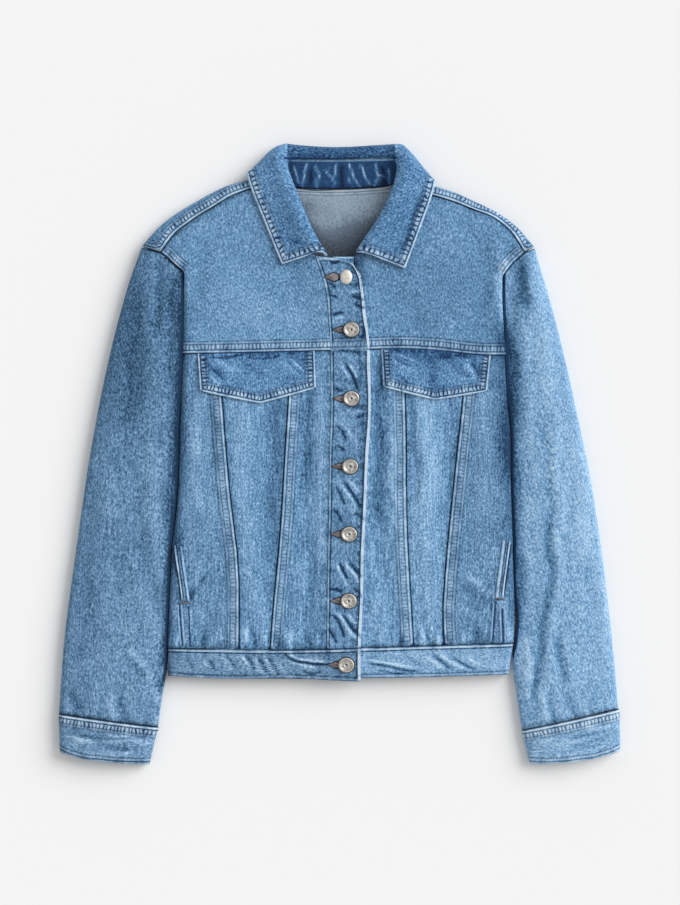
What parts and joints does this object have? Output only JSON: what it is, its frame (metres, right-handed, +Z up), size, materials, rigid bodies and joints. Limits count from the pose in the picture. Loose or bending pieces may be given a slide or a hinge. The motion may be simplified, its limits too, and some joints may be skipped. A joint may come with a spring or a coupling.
{
  "type": "denim jacket",
  "caption": "Short denim trucker jacket lying flat on its back, buttoned down the front, with a shirt collar, chest flaps, side-pocket welts, waistband and straight sleeves with cuffs.",
  "frame": {"origin": "on the resting surface, under the middle of the jacket's plan outline", "axes": "+Z up off the resting surface, +Y from the waistband towards the collar, +X towards the wearer's left side"},
  "size_m": [0.6366, 0.7031, 0.0275],
  "materials": {
    "denim": "stone-washed light-blue denim, worn paler along seams and edges",
    "denim_inside": "darker unworn denim inside the collar stand",
    "button_metal": "aged pale nickel jeans buttons"
  },
  "bodies": {
    "root": {"back_yoke": "denim", "back_panel": "denim", "front_yoke_right": "denim", "front_yoke_left": "denim", "front_centre_right": "denim", "front_centre_left": "denim", "front_middle_right": "denim", "front_middle_left": "denim", "front_side_right": "denim", "front_side_left": "denim", "placket_right": "denim", "placket_left": "denim", "flap_right": "denim", "flap_left": "denim", "welt_right": "denim", "welt_left": "denim", "hem_right": "denim", "hem_left": "denim", "hem_back": "denim", "sleeve_top_right": "denim", "sleeve_top_left": "denim", "sleeve_under_right": "denim", "sleeve_under_left": "denim", "cuff_right": "denim", "cuff_left": "denim", "collar_stand": "denim_inside", "collar_leaf": "denim", "button_1": "button_metal", "button_2": "button_metal", "button_3": "button_metal", "button_4": "button_metal", "button_5": "button_metal", "button_6": "button_metal", "button_7": "button_metal"}
  },
  "joints": []
}
